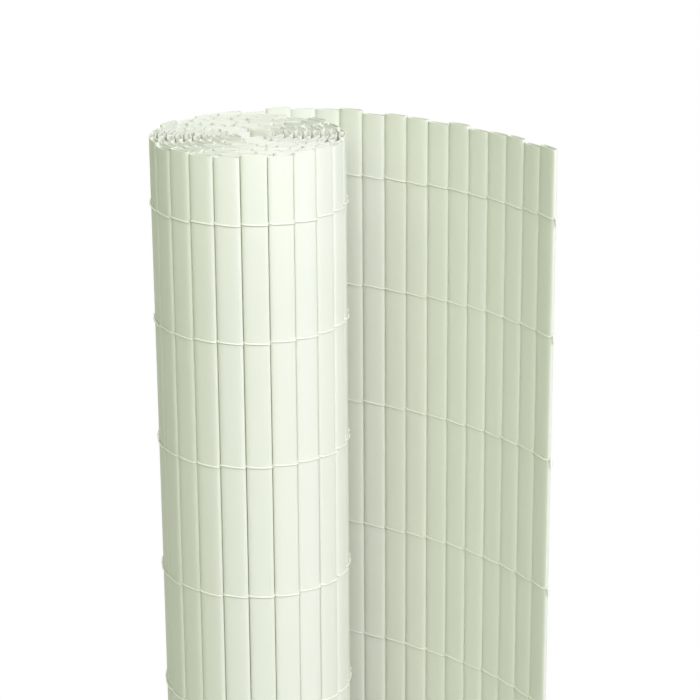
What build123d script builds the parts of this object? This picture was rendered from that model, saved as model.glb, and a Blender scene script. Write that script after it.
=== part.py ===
"""Rolled privacy screen: a mat of hollow PVC slats held together by twined cords.

The mat stands on its slat ends.
Most of it is wound into a spiral roll, and its loose end sweeps away behind the roll.
Units are millimetres, +Z is up, and the origin is at the bottom centre of the whole mat.
"""
import os
from math import asin, atan2, cos, pi, radians, sin

from build123d import *

# Slat section
SLAT_PITCH = 20.0
SLAT_GAP = 0.8
SLAT_THICKNESS = 5.2
EDGE_THICKNESS = 1.8
FACE_WALL = 0.7
EDGE_WALL = 1.2
CAVITY_EDGE_THICKNESS = 1.2

# Mat
MAT_HEIGHT = 1000.0
END_SCATTER = 2.4

# Roll: the seam radius where the loose end begins, that place's angle, the room for each turn,
# and the least seam radius of the innermost turn
ROLL_RADIUS = 75.6
LEAVING_ANGLE = 111.7
TURN_PITCH = 6.6
CORE_RADIUS = 11.8

# Ridges of the inner turns, with flat faces in place of rounded ones, and their six-sided cavities
RIDGE_THICKNESS = 4.8
RIDGE_FLAT = 8.0
RIDGE_CAVITY_THICKNESS = 3.4

# Loose end, from the roll to the free edge: slats in each stretch, and the radius that it bends to
LOOSE_SLAT_COUNTS = (3, 3, 4, 6)
LOOSE_RADII = (207.0, 87.0, 385.0, 298.0)

# Slats of the outer turn that are pieces of their own, like those of the loose end
OUTER_SLATS = 20

# Cords: their section, their room over the slats, and the slats they cover
# before the outer slats and along the loose end's inner face
CORD_WIDTH = 1.0
CORD_DEPTH = 0.9
CORD_FIT = 0.05
CORD_LEAD_SLATS = 2
INNER_RUN_SLATS = 12

# Cord rows: the upper ones measured down from the top of the mat, the lower ones evenly spaced
# from there to the last one, which is measured up from the bottom
UPPER_CORD_DROPS = (50.0, 141.0, 240.0, 347.0)
LOWER_CORD_COUNT = 6
LAST_CORD_RISE = 50.0

LOOSE_SLATS = sum(LOOSE_SLAT_COUNTS)
SLAT_WIDTH = SLAT_PITCH - SLAT_GAP
CREST = SLAT_THICKNESS / 2
EDGE = EDGE_THICKNESS / 2


def heading(angle):
    """Unit vector in plan at an angle in radians."""
    return Vector(cos(angle), sin(angle))


def left_of(direction):
    """Unit vector in plan at a right angle to the left of a direction."""
    return Vector(-direction.Y, direction.X)


def turn_at(radius):
    """Angle between neighbouring slats where the mat bends to a radius."""
    return 2 * asin(SLAT_PITCH / 2 / radius)


def rolled_seams():
    """Seams between the slats of the spiral, from the innermost one out to the loose end."""
    angle = radians(LEAVING_ANGLE)
    radius = ROLL_RADIUS
    points = []
    while radius > CORE_RADIUS:
        points.append(radius * heading(angle))
        step = turn_at(radius)
        angle += step
        radius -= TURN_PITCH * step / (2 * pi)
    return points[::-1]


def loose_seams(start, before):
    """Seams of the loose end after its start, bending less and less than the roll does."""
    lead = start - before
    angle = atan2(lead.Y, lead.X)
    points = []
    for count, radius in zip(LOOSE_SLAT_COUNTS, LOOSE_RADII):
        for _ in range(count):
            angle -= turn_at(radius)
            start = start + SLAT_PITCH * heading(angle)
            points.append(start)
    return points


def mat_seams():
    """All seams of the mat in plan, from its inner edge to its free edge."""
    rolled = rolled_seams()
    return rolled + loose_seams(rolled[-1], rolled[-2])


SEAMS = mat_seams()
SLAT_COUNT = len(SEAMS) - 1
ROLLED_SLATS = SLAT_COUNT - LOOSE_SLATS - OUTER_SLATS


def slat_axes(index):
    """Middle of a slat in plan, the direction along the mat, and the outward normal."""
    along = (SEAMS[index + 1] - SEAMS[index]).normalized()
    return (SEAMS[index] + SEAMS[index + 1]) / 2, along, left_of(along)


def seam_normal(index):
    """Outward offset of a seam for each millimetre of offset of the slats beside it."""
    first = slat_axes(max(index - 1, 0))[2]
    second = slat_axes(min(index, SLAT_COUNT - 1))[2]
    bisector = (first + second).normalized()
    return bisector / bisector.dot(first)


def at(index, along_slat, outward_slat):
    """Point in plan beside the middle of a slat: a distance along the mat and one outward."""
    middle, along, outward = slat_axes(index)
    return middle + along * along_slat + outward * outward_slat


def section(index, width, edge_thickness, thickness):
    """Outline in plan about the middle of a slat: two rounded faces and two flat edges."""
    side = width / 2
    edge = edge_thickness / 2
    outer_left, outer_right = at(index, -side, edge), at(index, side, edge)
    inner_left, inner_right = at(index, -side, -edge), at(index, side, -edge)
    return Wire([
        ThreePointArc(outer_left, at(index, 0, thickness / 2), outer_right),
        Line(outer_right, inner_right),
        ThreePointArc(inner_right, at(index, 0, -thickness / 2), inner_left),
        Line(inner_left, outer_left),
    ])


def slat(index):
    """One hollow slat with gently rounded faces, standing at its own height."""
    outline = section(index, SLAT_WIDTH, EDGE_THICKNESS, SLAT_THICKNESS)
    cavity = section(
        index, SLAT_WIDTH - 2 * EDGE_WALL, CAVITY_EDGE_THICKNESS, SLAT_THICKNESS - 2 * FACE_WALL
    )
    lift = END_SCATTER * (0.5 + 0.5 * sin(2.4 * index))
    return Pos(0, 0, lift) * extrude(Face(outline, [cavity]), MAT_HEIGHT, dir=(0, 0, 1))


def ridge_cavity(index):
    """Six-sided opening that runs through a ridge of the inner turns."""
    tip = SLAT_WIDTH / 2 - EDGE_WALL
    flat = RIDGE_FLAT / 2
    rise = RIDGE_CAVITY_THICKNESS / 2
    corners = [(-tip, 0), (-flat, rise), (flat, rise), (tip, 0), (flat, -rise), (-flat, -rise)]
    return Wire(Polyline(*[at(index, x, y) for x, y in corners], close=True))


def ridge_line(side):
    """Outline of the inner turns along one side: 1 for the outer faces, -1 for the inner ones."""
    points = []
    for i in range(ROLLED_SLATS):
        points.append(SEAMS[i] + seam_normal(i) * (side * EDGE))
        points.append(at(i, -RIDGE_FLAT / 2, side * RIDGE_THICKNESS / 2))
        points.append(at(i, RIDGE_FLAT / 2, side * RIDGE_THICKNESS / 2))
    points.append(at(ROLLED_SLATS - 1, SLAT_WIDTH / 2, side * EDGE))
    return points


def rolled_turns():
    """The inner turns: one spiral wall of ridges, with a cavity in every ridge."""
    outline = Polyline(*ridge_line(1), *ridge_line(-1)[::-1], close=True)
    holes = [ridge_cavity(i) for i in range(ROLLED_SLATS)]
    return extrude(Face(Wire(outline), holes), MAT_HEIGHT, dir=(0, 0, 1))


def cord_line(first, offset, reach):
    """Line of a cord beside the slats, from one seam to just past the free edge."""
    points = [SEAMS[i] + seam_normal(i) * offset for i in range(first, SLAT_COUNT)]
    end = SEAMS[-1] + seam_normal(SLAT_COUNT) * offset
    return points + [end + slat_axes(SLAT_COUNT - 1)[1] * reach]


def cord():
    """One cord: along the outer face, round the free edge and back along the inner face."""
    first_outer = ROLLED_SLATS - CORD_LEAD_SLATS
    first_inner = SLAT_COUNT - INNER_RUN_SLATS
    near = CREST + CORD_FIT
    far = near + CORD_DEPTH
    edge_reach = CORD_FIT - SLAT_GAP / 2
    far_reach = edge_reach + CORD_DEPTH
    loop = cord_line(first_outer, far, far_reach)
    loop += cord_line(first_inner, -far, far_reach)[::-1]
    loop += cord_line(first_inner, -near, edge_reach)
    loop += cord_line(first_outer, near, edge_reach)[::-1]
    return extrude(Face(Wire(Polyline(*loop, close=True))), CORD_WIDTH, dir=(0, 0, 1))


def cord_heights():
    """Heights of the cord rows, from the top row down."""
    drops = list(UPPER_CORD_DROPS)
    spacing = (MAT_HEIGHT - LAST_CORD_RISE - drops[-1]) / LOWER_CORD_COUNT
    for _ in range(LOWER_CORD_COUNT):
        drops.append(drops[-1] + spacing)
    return [MAT_HEIGHT - drop - CORD_WIDTH / 2 for drop in drops]


def mat_pieces():
    """Every piece by name, about the axis of the roll."""
    pieces = {"rolled_turns": rolled_turns()}
    for number in range(1, LOOSE_SLATS + OUTER_SLATS + 1):
        pieces[f"slat_{number:02d}"] = slat(SLAT_COUNT - number)
    one_cord = cord()
    for number, height in enumerate(cord_heights(), start=1):
        pieces[f"cord_{number:02d}"] = Pos(0, 0, height) * one_cord
    return pieces


def main():
    """Centre the mat over its origin and write one file for each piece."""
    pieces = mat_pieces()
    box = pieces["rolled_turns"].bounding_box()
    for piece in pieces.values():
        box = box.add(piece.bounding_box())
    centred = Pos(-box.center().X, -box.center().Y, -box.min.Z)
    os.makedirs("parts", exist_ok=True)
    for name, piece in pieces.items():
        export_step(centred * piece, f"parts/{name}.step")
    print(f"{len(pieces)} pieces, {SLAT_COUNT} slats, mat {SLAT_COUNT * SLAT_PITCH:.0f} mm long")
    print(f"size {box.size.X:.1f} x {box.size.Y:.1f} x {box.size.Z:.1f}")


if __name__ == "__main__":
    main()
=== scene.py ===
"""Looks of a rolled privacy screen: hollow PVC slats twined side by side on thin nylon cords.

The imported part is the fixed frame. Sizes are in metres, and +Z is up.
"""

import logging
import math
from dataclasses import dataclass
from enum import Enum

import bmesh
import bpy
from mathutils import Matrix, Vector

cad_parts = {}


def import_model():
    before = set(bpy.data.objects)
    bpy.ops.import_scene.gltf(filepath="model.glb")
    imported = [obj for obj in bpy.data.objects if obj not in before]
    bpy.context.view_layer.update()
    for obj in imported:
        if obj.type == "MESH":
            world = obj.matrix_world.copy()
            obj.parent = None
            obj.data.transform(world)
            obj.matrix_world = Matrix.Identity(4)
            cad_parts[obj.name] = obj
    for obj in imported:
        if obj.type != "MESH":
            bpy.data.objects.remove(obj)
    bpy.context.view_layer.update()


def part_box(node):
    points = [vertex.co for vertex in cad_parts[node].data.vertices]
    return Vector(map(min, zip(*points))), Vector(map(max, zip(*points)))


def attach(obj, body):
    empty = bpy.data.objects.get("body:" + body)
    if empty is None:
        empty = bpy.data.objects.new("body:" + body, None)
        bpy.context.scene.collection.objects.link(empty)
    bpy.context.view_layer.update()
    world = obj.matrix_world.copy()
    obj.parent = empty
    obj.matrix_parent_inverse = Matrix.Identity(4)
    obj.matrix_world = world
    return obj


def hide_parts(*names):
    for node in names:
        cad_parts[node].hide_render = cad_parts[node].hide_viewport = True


LOG = logging.getLogger("privacy_screen")
UP = Vector((0.0, 0.0, 1.0))
Colour = tuple[float, float, float]
Point = tuple[float, float, float]
WHITE: Colour = (1.0, 1.0, 1.0)
MILLIMETRES_IN_METRE = 1000

# Unevenness from slat to slat: shares and rates of its two waves, and the second one's phase rate
WAVE_SHARES = (0.6, 0.4)
WAVE_RATES = (2.4, 5.3)
SECOND_PHASE_RATE = 1.7

# Places of a Mix node's colour sockets
MIX_FACTOR = 0
MIX_FIRST = 6
MIX_SECOND = 7
MIX_RESULT = 2

# Faces that point up or down by more than this are sawn ends
END_FACING = 0.5


class Side(Enum):
    """Face of the mat that a strand lies on."""

    OUTER = 1
    INNER = -1

    def opposite(self) -> "Side":
        """The other face of the mat."""
        return Side(-self.value)


def ripple(index: int, phase: float) -> float:
    """Small steady unevenness from -1 to 1 that differs from slat to slat.

    Args:
        index: Number of the slat along the mat.
        phase: Start of the pattern, so that different features differ.

    Returns:
        The unevenness of that slat.
    """
    first = WAVE_SHARES[0] * math.sin(WAVE_RATES[0] * index + phase)
    second = WAVE_SHARES[1] * math.sin(WAVE_RATES[1] * index + SECOND_PHASE_RATE * phase)
    return first + second


def heading(angle: float) -> Vector:
    """Unit vector in plan at an angle."""
    return Vector((math.cos(angle), math.sin(angle), 0.0))


def node(tree: bpy.types.NodeTree, kind: str, **settings: object) -> bpy.types.Node:
    """Add a shader node.

    Args:
        tree: The node tree that gets the node.
        kind: Blender's name of the node type.
        settings: Node properties, and input values under the input's name.

    Returns:
        The new node.
    """
    made = tree.nodes.new(kind)
    for name, value in settings.items():
        label = name.replace("_", " ").title()
        if hasattr(made, name):
            setattr(made, name, value)
        else:
            made.inputs[label].default_value = value
    return made


@dataclass(frozen=True)
class MatPlan:
    """The mat from above: a chain of seams from the core of the roll to the free edge."""

    pitch: float = 0.020
    roll_radius: float = 0.0756
    leaving_angle: float = math.radians(111.7)
    turn_pitch: float = 0.0066
    core_radius: float = 0.0118
    loose_counts: tuple[int, ...] = (3, 3, 4, 6)
    loose_radii: tuple[float, ...] = (0.207, 0.087, 0.385, 0.298)

    def turn_at(self, radius: float) -> float:
        """Angle between neighbouring slats where the mat bends to a radius."""
        return 2 * math.asin(self.pitch / 2 / radius)

    def rolled(self) -> list[Vector]:
        """Seams of the spiral, from the core out to the loose end.

        Returns:
            Points about the axis of the roll.
        """
        angle = self.leaving_angle
        radius = self.roll_radius
        points = []
        while radius > self.core_radius:
            points.append(heading(angle) * radius)
            step = self.turn_at(radius)
            angle += step
            radius -= self.turn_pitch * step / math.tau
        return points[::-1]

    def seams(self) -> list[Vector]:
        """All seams of the mat.

        Returns:
            Points about the axis of the roll, from the core to the free edge.
        """
        points = self.rolled()
        lead = points[-1] - points[-2]
        angle = math.atan2(lead.y, lead.x)
        for count, radius in zip(self.loose_counts, self.loose_radii):
            for _ in range(count):
                angle -= self.turn_at(radius)
                points.append(points[-1] + heading(angle) * self.pitch)
        return points


class Mat:
    """The mat's plan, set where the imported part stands."""

    def __init__(self, plan: MatPlan) -> None:
        """Place the plan by the slat at the free edge.

        Args:
            plan: The chain of seams about the axis of the roll.
        """
        self.plan = plan
        chain = plan.seams()
        low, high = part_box("slat_01")
        middle = (chain[-1] + chain[-2]) / 2
        self.axis = (low + high) / 2 - middle
        self.axis.z = 0.0
        self.seams = [point + self.axis for point in chain]
        self.count = len(self.seams) - 1

    def frame_of(self, index: int, height: float) -> Matrix:
        """Axes of a slat: X along the mat, Y outward and Z up, about its middle in plan.

        Args:
            index: Number of the slat from the core.
            height: Height of the axes over the floor.

        Returns:
            The matrix that sets a slat, or a tie about it, in place.
        """
        start, end = self.seams[index], self.seams[index + 1]
        along = (end - start).normalized()
        outward = UP.cross(along)
        place = Matrix((along, outward, UP)).transposed().to_4x4()
        place.translation = (start + end) / 2
        place.translation.z = height
        return place

    def bend_at(self, index: int) -> float:
        """Sharpest bend of the mat at the two seams of a slat.

        Args:
            index: Number of the slat from the core.

        Returns:
            The angle between that slat and the neighbour that turns most from it.
        """
        chain = self.seams[max(index - 1, 0):index + 3]
        ways = [end - start for start, end in zip(chain, chain[1:])]
        return max(first.angle(second) for first, second in zip(ways, ways[1:]))


class Surface:
    """A new material with its main shader, and the steps that the finishes share."""

    def __init__(self, name: str) -> None:
        """Start a material.

        Args:
            name: Name of the material.
        """
        self.material = bpy.data.materials.new(name)
        self.material.use_nodes = True
        self.tree = self.material.node_tree
        self.shader = self.tree.nodes["Principled BSDF"]

    def add(self, kind: str, **settings: object) -> bpy.types.Node:
        """Add a shader node with its settings."""
        return node(self.tree, kind, **settings)

    def join(self, source: bpy.types.NodeSocket, target: bpy.types.NodeSocket) -> None:
        """Link an output to an input."""
        self.tree.links.new(source, target)

    def set_value(self, label: str, value: float) -> None:
        """Set a plain value on the main shader."""
        self.shader.inputs[label].default_value = value

    def colour(self, factor: bpy.types.NodeSocket, first: Colour, second: Colour) -> None:
        """Colour the surface between two tones.

        Args:
            factor: Socket that is 0 for the first tone and 1 for the second.
            first: The first tone.
            second: The second tone.
        """
        mix = self.add("ShaderNodeMix", data_type="RGBA")
        mix.inputs[MIX_FIRST].default_value = (*first, 1.0)
        mix.inputs[MIX_SECOND].default_value = (*second, 1.0)
        self.join(factor, mix.inputs[MIX_FACTOR])
        self.join(mix.outputs[MIX_RESULT], self.shader.inputs["Base Color"])

    def relief(self, height: bpy.types.NodeSocket, strength: float, depth: float) -> None:
        """Give the surface a fine relief.

        Args:
            height: Socket with the height of the relief, from 0 to 1.
            strength: Share of the relief that shows.
            depth: Depth of the relief.
        """
        bump = self.add("ShaderNodeBump", strength=strength, distance=depth)
        self.join(height, bump.inputs["Height"])
        self.join(bump.outputs["Normal"], self.shader.inputs["Normal"])


@dataclass(frozen=True)
class PvcFinish:
    """Satin extruded PVC: faint die lines along each slat, and a tone of its own for each slat."""

    name: str = "slat_pvc"
    light: Colour = (0.815, 0.835, 0.755)
    deep: Colour = (0.75, 0.78, 0.665)
    specular: float = 0.22
    roughness: tuple[float, float] = (0.34, 0.46)
    cloud_scale: float = 22.0
    cloud_detail: float = 4.0
    cloud_roughness: float = 0.6
    cloud_range: tuple[float, float] = (0.3, 0.7)
    line_stretch: Point = (700.0, 700.0, 1.6)
    line_detail: float = 3.0
    line_roughness: float = 0.55
    line_share: float = 0.28
    line_strength: float = 0.35
    line_depth: float = 0.00004

    def material(self) -> bpy.types.Material:
        """Build the finish.

        Returns:
            A material that reads the slat's tone attribute.
        """
        surface = Surface(self.name)
        surface.set_value("Specular IOR Level", self.specular)
        where = surface.add("ShaderNodeTexCoord")
        stretch = surface.add("ShaderNodeMapping", scale=self.line_stretch)
        lines = surface.add(
            "ShaderNodeTexNoise", scale=1.0, detail=self.line_detail, roughness=self.line_roughness
        )
        cloud = surface.add(
            "ShaderNodeTexNoise",
            scale=self.cloud_scale, detail=self.cloud_detail, roughness=self.cloud_roughness,
        )
        gloss = surface.add(
            "ShaderNodeMapRange",
            from_min=self.cloud_range[0], from_max=self.cloud_range[1],
            to_min=self.roughness[0], to_max=self.roughness[1],
        )
        tone = surface.add("ShaderNodeAttribute", attribute_name="tone")
        blend = surface.add("ShaderNodeMath", operation="MULTIPLY_ADD")
        blend.inputs[1].default_value = self.line_share
        surface.join(where.outputs["Object"], stretch.inputs["Vector"])
        surface.join(stretch.outputs["Vector"], lines.inputs["Vector"])
        surface.join(where.outputs["Object"], cloud.inputs["Vector"])
        surface.join(cloud.outputs["Fac"], gloss.inputs["Value"])
        surface.join(gloss.outputs["Result"], surface.shader.inputs["Roughness"])
        surface.join(lines.outputs["Fac"], blend.inputs[0])
        surface.join(tone.outputs["Fac"], blend.inputs[2])
        surface.colour(blend.outputs[0], self.light, self.deep)
        surface.relief(lines.outputs["Fac"], self.line_strength, self.line_depth)
        return surface.material


@dataclass(frozen=True)
class SawnFinish:
    """Sawn end of a slat: paler and duller than its face, with the saw's fine marks."""

    name: str = "slat_sawn_end"
    light: Colour = (0.94, 0.94, 0.915)
    deep: Colour = (0.85, 0.86, 0.80)
    roughness: float = 0.62
    mark_scale: float = 2600.0
    mark_detail: float = 2.0
    mark_strength: float = 0.3
    mark_depth: float = 0.00005

    def material(self) -> bpy.types.Material:
        """Build the finish.

        Returns:
            A dull material with fine marks.
        """
        surface = Surface(self.name)
        surface.set_value("Roughness", self.roughness)
        where = surface.add("ShaderNodeTexCoord")
        marks = surface.add("ShaderNodeTexNoise", scale=self.mark_scale, detail=self.mark_detail)
        surface.join(where.outputs["Object"], marks.inputs["Vector"])
        surface.colour(marks.outputs["Fac"], self.light, self.deep)
        surface.relief(marks.outputs["Fac"], self.mark_strength, self.mark_depth)
        return surface.material


@dataclass(frozen=True)
class NylonFinish:
    """Twisted nylon strand: pale, with fine slanting thread ridges along it, and painted shade in
    the grooves between them.
    """

    name: str = "cord_nylon_thread"
    light: Colour = (0.93, 0.945, 0.88)
    # Painted shade: the deep tone fills the grooves of the twist, and the light tone is the
    # strand's own pale colour
    deep: Colour = (0.80, 0.83, 0.72)
    roughness: float = 0.42
    ior: float = 1.53
    thread_stretch: Point = (420.0, 2.0, 1.0)
    thread_distortion: float = 0.6
    thread_strength: float = 0.4
    thread_depth: float = 0.00008

    def material(self) -> bpy.types.Material:
        """Build the finish.

        Returns:
            A material that follows the strand's own UV map.
        """
        surface = Surface(self.name)
        surface.set_value("Roughness", self.roughness)
        surface.set_value("IOR", self.ior)
        where = surface.add("ShaderNodeTexCoord")
        stretch = surface.add("ShaderNodeMapping", scale=self.thread_stretch)
        thread_ridges_and_shade = surface.add(
            "ShaderNodeTexWave",
            bands_direction="DIAGONAL", scale=1.0, distortion=self.thread_distortion,
        )
        surface.join(where.outputs["UV"], stretch.inputs["Vector"])
        surface.join(stretch.outputs["Vector"], thread_ridges_and_shade.inputs["Vector"])
        # The deep tone goes where the relief is low, so the grooves of the twist carry painted
        # shade
        surface.colour(thread_ridges_and_shade.outputs["Fac"], self.deep, self.light)
        surface.relief(thread_ridges_and_shade.outputs["Fac"], self.thread_strength, self.thread_depth)
        return surface.material


@dataclass(frozen=True)
class SlatTube:
    """One hollow slat with an oval section, along Z from the floor."""

    width: float = 0.0196
    thickness: float = 0.0052
    face_wall: float = 0.0007
    edge_wall: float = 0.0011
    fullness: float = 0.67
    sides: int = 32
    cuts: int = 8
    rim_round: float = 0.00014
    rim_segments: int = 2

    def oval(
        self, shape: bmesh.types.BMesh, width: float, thickness: float
    ) -> list[bmesh.types.BMEdge]:
        """Add an oval loop on the floor, with flatter faces and blunter edges than an ellipse.

        Args:
            shape: The mesh that gets the loop.
            width: Size along the mat.
            thickness: Size across the mat.

        Returns:
            The edges of the loop.
        """
        made = bmesh.ops.create_circle(shape, cap_ends=False, segments=self.sides, radius=1.0)
        ring = made["verts"]
        for vert in ring:
            vert.co.x = math.copysign(abs(vert.co.x) ** self.fullness, vert.co.x)
            vert.co.y = math.copysign(abs(vert.co.y) ** self.fullness, vert.co.y)
        bmesh.ops.scale(shape, vec=(width / 2, thickness / 2, 1.0), verts=ring)
        return list({edge for vert in ring for edge in vert.link_edges})

    def build(self, height: float, bow: float = 0.0, sway: float = 0.0) -> bmesh.types.BMesh:
        """Build the tube with open ends.

        Args:
            height: Length of the slat.
            bow: How far its middle leaves the mat's surface.
            sway: How far its middle leaves its place along the mat.

        Returns:
            The closed shell of a tube, with its sawn ends in the second material.
        """
        shape = bmesh.new()
        bore_width = self.width - 2 * self.edge_wall
        bore_thickness = self.thickness - 2 * self.face_wall
        loops = self.oval(shape, self.width, self.thickness)
        loops += self.oval(shape, bore_width, bore_thickness)
        end = bmesh.ops.bridge_loops(shape, edges=loops)["faces"]
        grown = bmesh.ops.extrude_face_region(shape, geom=end, use_keep_orig=True)["geom"]
        top = [part for part in grown if isinstance(part, bmesh.types.BMVert)]
        bmesh.ops.translate(shape, vec=UP * height, verts=top)
        bmesh.ops.recalc_face_normals(shape, faces=shape.faces)
        for face in shape.faces:
            face.smooth = True
            face.material_index = 1 if abs(face.normal.z) > END_FACING else 0
        if self.cuts:
            tall = [edge for edge in shape.edges if edge.calc_length() > height / 2]
            bmesh.ops.subdivide_edges(shape, edges=tall, cuts=self.cuts, use_grid_fill=True)
        if self.rim_round:
            rims = [
                edge for edge in shape.edges
                if len({face.material_index for face in edge.link_faces}) == 2
            ]
            bmesh.ops.bevel(
                shape, geom=rims, offset=self.rim_round, offset_type="OFFSET",
                segments=self.rim_segments, profile=0.5, affect="EDGES", material=-1,
            )
        for vert in shape.verts:
            lean = math.sin(math.pi * vert.co.z / height)
            vert.co += Vector((sway * lean, bow * lean, 0.0))
        return shape


@dataclass
class Slats:
    """All slats of the mat, from the core of the roll to the free edge."""

    mat: Mat
    pvc: bpy.types.Material
    sawn: bpy.types.Material
    tube: SlatTube = SlatTube()
    close_tube: SlatTube = SlatTube(width=0.01985)
    inner_tube: SlatTube = SlatTube(sides=16, cuts=0, rim_round=0.0)
    seen_slats: int = 36
    close_slats: int = 10
    bend_gap: float = 0.00015
    height: float = 1.0
    scatter: float = 0.0015
    scatter_rate: float = 2.4
    bow: float = 0.0005
    bow_phase: float = 2.0
    sway: float = 0.00005
    sway_phase: float = 4.1
    tone_middle: float = 0.36
    tone_spread: float = 0.22
    tone_phase: float = 0.8

    def tone(self, index: int) -> float:
        """Tone of a slat from 0, pale, to 1, deep."""
        return self.tone_middle + self.tone_spread * ripple(index, self.tone_phase)

    def lift(self, index: int) -> float:
        """Height of an inner slat's lower end over the floor."""
        return self.scatter * (0.5 + 0.5 * math.sin(self.scatter_rate * index))

    def belly(self, index: int) -> tuple[float, float]:
        """How far a slat's middle leaves its place along the mat, and outward."""
        sway = self.sway * ripple(index, self.sway_phase)
        return sway, self.bow * ripple(index, self.bow_phase)

    def lean(self, index: int, height: float) -> Vector:
        """How far a slat has left its straight place at a height.

        Args:
            index: Number of the slat from the core.
            height: Height over the slat's lower end.

        Returns:
            The offset along the mat and outward, which is none for the slats of the inner turns.
        """
        if index < self.mat.count - self.seen_slats:
            return Vector((0.0, 0.0, 0.0))
        return Vector((*self.belly(index), 0.0)) * math.sin(math.pi * height / self.height)

    def width_share(self, index: int) -> float:
        """Share of its width that an inner slat keeps, so that it clears its neighbours in a bend.

        Args:
            index: Number of the slat from the core.

        Returns:
            Width of the oval that stays on its own side of both seams, over the full width.
        """
        tube = self.inner_tube
        power = 2 / (2 - tube.fullness)
        reach = tube.thickness / 2 * math.tan(self.mat.bend_at(index) / 2)
        span = (self.mat.seams[index + 1] - self.mat.seams[index]).length
        room = (span / 2) ** power - reach ** power
        return min(1.0, 2 * (room ** (1 / power) - self.bend_gap) / tube.width)

    def settle(
        self, shape: bmesh.types.BMesh, verts: list[bmesh.types.BMVert], index: int, base: float,
        share: float = 1.0,
    ) -> None:
        """Give a slat its tone and stand it in its place.

        Args:
            shape: The mesh that holds the slat, with a tone layer.
            verts: The slat's vertices.
            index: Number of the slat from the core.
            base: Height of its lower end over the floor.
            share: Share of its width that the slat keeps.
        """
        tone = shape.verts.layers.float["tone"]
        for vert in verts:
            vert[tone] = self.tone(index)
        place = self.mat.frame_of(index, base) @ Matrix.Diagonal((share, 1.0, 1.0, 1.0))
        bmesh.ops.transform(shape, matrix=place, verts=verts)

    def dress(self, shape: bmesh.types.BMesh, name: str, nodes: list[str]) -> bpy.types.Object:
        """Make a piece of a finished mesh.

        Args:
            shape: The mesh, already in its place.
            name: Name of the piece.
            nodes: CAD nodes that the piece stands for.

        Returns:
            The piece.
        """
        mesh = bpy.data.meshes.new(name)
        shape.to_mesh(mesh)
        shape.free()
        mesh.materials.append(self.pvc)
        mesh.materials.append(self.sawn)
        piece = bpy.data.objects.new(name, mesh)
        bpy.context.scene.collection.objects.link(piece)
        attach(piece, "root")
        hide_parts(*nodes)
        LOG.info("%s: %d faces", name, len(mesh.polygons))
        return piece

    def build_seen(self) -> None:
        """Build the slats of the loose end and the outer turn, closest by the free edge."""
        for number in range(1, self.seen_slats + 1):
            index = self.mat.count - number
            name = f"slat_{number:02d}"
            low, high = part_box(name)
            tube = self.close_tube if number <= self.close_slats else self.tube
            sway, bow = self.belly(index)
            shape = tube.build(high.z - low.z, bow, sway)
            shape.verts.layers.float.new("tone")
            self.settle(shape, list(shape.verts), index, low.z)
            self.dress(shape, f"hollow_{name}", [name])

    def build_rolled(self) -> None:
        """Build the slats of the inner turns as one piece, narrower towards the core."""
        one = self.inner_tube.build(self.height)
        pattern = bpy.data.meshes.new("inner_slat")
        one.to_mesh(pattern)
        one.free()
        shape = bmesh.new()
        shape.verts.layers.float.new("tone")
        for index in range(self.mat.count - self.seen_slats):
            before = len(shape.verts)
            shape.from_mesh(pattern)
            shape.verts.ensure_lookup_table()
            added = shape.verts[before:]
            self.settle(shape, added, index, self.lift(index), self.width_share(index))
        bpy.data.meshes.remove(pattern)
        self.dress(shape, "hollow_slats_of_inner_turns", ["rolled_turns"])


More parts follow.
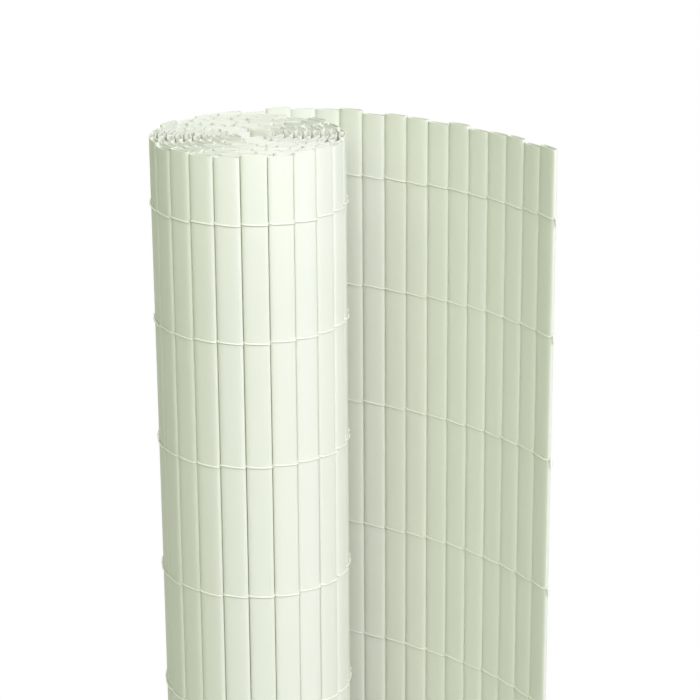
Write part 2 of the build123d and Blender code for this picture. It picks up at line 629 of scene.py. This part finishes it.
@dataclass
class Ties:
    """Rows of two strands that twine about the slats and are knotted at the free edge.

    The crown and the shoulder are places on a strand's way over a slat, along the mat and outward.
    The knot's points are in millimetres from the free edge.
    """

    slats: Slats
    nylon: bpy.types.Material
    rows: int = 10
    covered_slats: int = 38
    radius: float = 0.00068
    crown: tuple[float, float] = (0.0040, 0.0034)
    shoulder: tuple[float, float] = (0.0095, 0.0029)
    twist: float = 0.0006
    crown_twists: tuple[float, float] = (-0.7, 0.2)
    drift: float = 0.0006
    row_phase: float = 1.3
    order: int = 4
    steps_along: int = 3
    steps_round: int = 2
    knot: tuple[Point, ...] = (
        (0.4, 0.7, 0.1), (1.3, 0.9, 0.5), (1.9, -0.1, 0.9), (1.2, -0.9, 0.1), (0.7, 0.1, -0.8),
        (1.5, 0.9, -0.4), (2.1, -0.1, 0.2), (2.2, -0.7, -1.2), (2.0, -0.5, -3.2), (2.3, -0.2, -5.4),
    )

    def strand(self, row: int, height: float, side: Side) -> list[Vector]:
        """Route of one strand of a row.

        Args:
            row: Number of the row from the top.
            height: Height of the row over the floor.
            side: Face of the mat that the strand starts on.

        Returns:
            Control points from the first slat to the end of the knot's tail.
        """
        mat = self.slats.mat
        edge = mat.plan.pitch / 2
        points = []
        for index in range(mat.count - self.covered_slats, mat.count):
            drift = self.drift * ripple(index, self.row_phase * row)
            place = mat.frame_of(index, height + drift)
            lean = self.slats.lean(index, height)
            out = side.value
            slant = self.twist * out
            route = [
                (-edge, 0.0, -slant),
                (-self.shoulder[0], self.shoulder[1] * out, -slant),
                (-self.crown[0], self.crown[1] * out, slant * self.crown_twists[0]),
                (self.crown[0], self.crown[1] * out, slant * self.crown_twists[1]),
                (self.shoulder[0], self.shoulder[1] * out, slant),
            ]
            points += [place @ (Vector(point) + lean) for point in route]
            side = side.opposite()
        last = mat.frame_of(mat.count - 1, height)
        for x, y, z in self.knot:
            offset = Vector((x, y * -side.value, z)) / MILLIMETRES_IN_METRE
            points.append(last @ (Vector((edge, 0.0, 0.0)) + lean + offset))
        return points

    def row_mesh(self, row: int, name: str) -> bpy.types.Mesh:
        """Build both strands of a row.

        Args:
            row: Number of the row from the top.
            name: Name of the row's CAD node.

        Returns:
            The strands as one smooth mesh.
        """
        low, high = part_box(name)
        curve = bpy.data.curves.new(f"{name}_route", "CURVE")
        curve.dimensions = "3D"
        curve.bevel_depth = self.radius
        curve.bevel_resolution = self.steps_round
        curve.use_fill_caps = True
        curve.resolution_u = self.steps_along
        for side in Side:
            route = self.strand(row, (low.z + high.z) / 2, side)
            spline = curve.splines.new("NURBS")
            spline.points.add(len(route) - 1)
            for point, place in zip(spline.points, route):
                point.co = (*place, 1.0)
            spline.order_u = self.order
            spline.use_endpoint_u = True
        holder = bpy.data.objects.new(f"{name}_route", curve)
        mesh = bpy.data.meshes.new_from_object(holder)
        mesh.name = f"twined_{name}"
        bpy.data.objects.remove(holder)
        for face in mesh.polygons:
            face.use_smooth = True
        return mesh

    def build(self) -> None:
        """Build every row as a piece of its own."""
        for row in range(1, self.rows + 1):
            name = f"cord_{row:02d}"
            mesh = self.row_mesh(row, name)
            mesh.materials.clear()
            mesh.materials.append(self.nylon)
            piece = bpy.data.objects.new(f"twined_{name}", mesh)
            bpy.context.scene.collection.objects.link(piece)
            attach(piece, "root")
            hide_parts(name)
            LOG.info("%s: %d faces", piece.name, len(mesh.polygons))


@dataclass(frozen=True)
class Viewpoint:
    """Camera at the photograph's viewing angle, placed from the axis of the roll."""

    offset: Point = (0.0747, -1.7597, 1.4078)
    pitch: float = math.radians(18.21)
    roll: float = math.radians(0.37)
    lens: float = 122.3
    sensor_width: float = 36.0
    clip: tuple[float, float] = (0.05, 60.0)

    def build(self, mat: Mat) -> None:
        """Add the camera and make it the scene's own.

        Args:
            mat: The mat, which gives the axis of the roll.
        """
        data = bpy.data.cameras.new("viewpoint")
        data.lens = self.lens
        data.sensor_width = self.sensor_width
        data.clip_start, data.clip_end = self.clip
        camera = bpy.data.objects.new("viewpoint", data)
        place = Matrix.Translation(mat.axis + Vector(self.offset))
        tilt = Matrix.Rotation(math.pi / 2 - self.pitch, 4, "X")
        camera.matrix_world = place @ tilt @ Matrix.Rotation(-self.roll, 4, "Z")
        bpy.context.scene.collection.objects.link(camera)
        bpy.context.scene.camera = camera


@dataclass(frozen=True)
class Lamp:
    """Soft area lamp that looks at the part."""

    name: str
    place: Point
    size: float
    power: float
    tint: Colour = WHITE
    target: Point = (0.0, 0.0, 0.7)

    def build(self) -> None:
        """Add the lamp."""
        data = bpy.data.lights.new(self.name, "AREA")
        data.shape = "DISK"
        data.size = self.size
        data.energy = self.power
        data.color = self.tint
        lamp = bpy.data.objects.new(self.name, data)
        aim = Vector(self.target) - Vector(self.place)
        turn = aim.to_track_quat("-Z", "Y").to_matrix().to_4x4()
        lamp.matrix_world = Matrix.Translation(self.place) @ turn
        bpy.context.scene.collection.objects.link(lamp)


@dataclass(frozen=True)
class Studio:
    """Plain pale floor, white surroundings and soft lamps."""

    floor_radius: float = 8.0
    floor_sides: int = 96
    floor_colour: Colour = (0.80, 0.80, 0.79)
    fade: tuple[float, float] = (0.45, 0.85)
    ambient: float = 0.22
    ambient_tint: Colour = (0.80, 1.0, 0.52)
    lamps: tuple[Lamp, ...] = (
        Lamp("front", (0.22, -2.48, 2.38), 1.6, 39.0, (1.0, 0.97, 1.02)),
        Lamp("key", (1.49, -1.91, 2.46), 1.6, 23.0, (1.0, 0.97, 1.17)),
        Lamp("side", (2.14, -1.14, 2.46), 1.6, 25.0, (1.0, 0.97, 1.17)),
        Lamp("fill", (-1.49, -1.91, 2.46), 1.8, 8.0, (0.82, 1.0, 0.60)),
        Lamp("back", (-0.50, 2.85, 1.40), 1.8, 40.0),
    )

    def seen(self, tree: bpy.types.NodeTree) -> bpy.types.NodeSocket:
        """Tell the rays that show the surroundings from those that light the part.

        Args:
            tree: The node tree that gets the nodes.

        Returns:
            A socket that is 1 for camera, glossy and transmission rays.
        """
        path = node(tree, "ShaderNodeLightPath")
        first = node(tree, "ShaderNodeMath", operation="MAXIMUM")
        both = node(tree, "ShaderNodeMath", operation="MAXIMUM")
        tree.links.new(path.outputs["Is Camera Ray"], first.inputs[0])
        tree.links.new(path.outputs["Is Glossy Ray"], first.inputs[1])
        tree.links.new(first.outputs[0], both.inputs[0])
        tree.links.new(path.outputs["Is Transmission Ray"], both.inputs[1])
        return both.outputs[0]

    def build_world(self) -> None:
        """Light the part evenly from all round, and show white behind it."""
        world = bpy.data.worlds.new("surroundings")
        world.use_nodes = True
        tree = world.node_tree
        tree.nodes.clear()
        light = node(tree, "ShaderNodeBackground", strength=self.ambient)
        light.inputs["Color"].default_value = (*self.ambient_tint, 1.0)
        white = node(tree, "ShaderNodeBackground")
        white.inputs["Color"].default_value = (*WHITE, 1.0)
        mix = node(tree, "ShaderNodeMixShader")
        out = node(tree, "ShaderNodeOutputWorld")
        tree.links.new(self.seen(tree), mix.inputs[0])
        tree.links.new(light.outputs[0], mix.inputs[1])
        tree.links.new(white.outputs[0], mix.inputs[2])
        tree.links.new(mix.outputs[0], out.inputs["Surface"])
        bpy.context.scene.world = world

    def floor_material(self) -> bpy.types.Material:
        """Pale floor that keeps the shadow near the part and fades to white away from it.

        Returns:
            The floor's material.
        """
        made = bpy.data.materials.new("pale_floor")
        made.use_nodes = True
        tree = made.node_tree
        tree.nodes.clear()
        where = node(tree, "ShaderNodeTexCoord")
        reach = node(tree, "ShaderNodeVectorMath", operation="LENGTH")
        fade = node(tree, "ShaderNodeMapRange", from_min=self.fade[0], from_max=self.fade[1])
        away = node(tree, "ShaderNodeMath", operation="MULTIPLY")
        plain = node(tree, "ShaderNodeBsdfDiffuse")
        plain.inputs["Color"].default_value = (*self.floor_colour, 1.0)
        white = node(tree, "ShaderNodeEmission")
        mix = node(tree, "ShaderNodeMixShader")
        out = node(tree, "ShaderNodeOutputMaterial")
        join = tree.links.new
        join(where.outputs["Object"], reach.inputs[0])
        join(reach.outputs["Value"], fade.inputs["Value"])
        join(fade.outputs["Result"], away.inputs[0])
        join(self.seen(tree), away.inputs[1])
        join(away.outputs[0], mix.inputs[0])
        join(plain.outputs[0], mix.inputs[1])
        join(white.outputs[0], mix.inputs[2])
        join(mix.outputs[0], out.inputs["Surface"])
        return made

    def build_floor(self) -> None:
        """Lay the floor."""
        shape = bmesh.new()
        bmesh.ops.create_circle(
            shape, cap_ends=True, segments=self.floor_sides, radius=self.floor_radius
        )
        bmesh.ops.recalc_face_normals(shape, faces=shape.faces)
        mesh = bpy.data.meshes.new("floor")
        shape.to_mesh(mesh)
        shape.free()
        mesh.materials.append(self.floor_material())
        floor = bpy.data.objects.new("floor", mesh)
        bpy.context.scene.collection.objects.link(floor)

    def build(self) -> None:
        """Set up the surroundings, the floor and the lamps."""
        self.build_world()
        self.build_floor()
        for lamp in self.lamps:
            lamp.build()
        bpy.context.scene.view_settings.view_transform = "Standard"


def main() -> None:
    """Build the mat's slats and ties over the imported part, then the studio."""
    logging.basicConfig(level=logging.INFO, format="%(message)s")
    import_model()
    mat = Mat(MatPlan())
    LOG.info("%d slats", mat.count)
    slats = Slats(mat, PvcFinish().material(), SawnFinish().material())
    slats.build_seen()
    slats.build_rolled()
    Ties(slats, NylonFinish().material()).build()
    Viewpoint().build(mat)
    Studio().build()


if __name__ == "__main__":
    main()
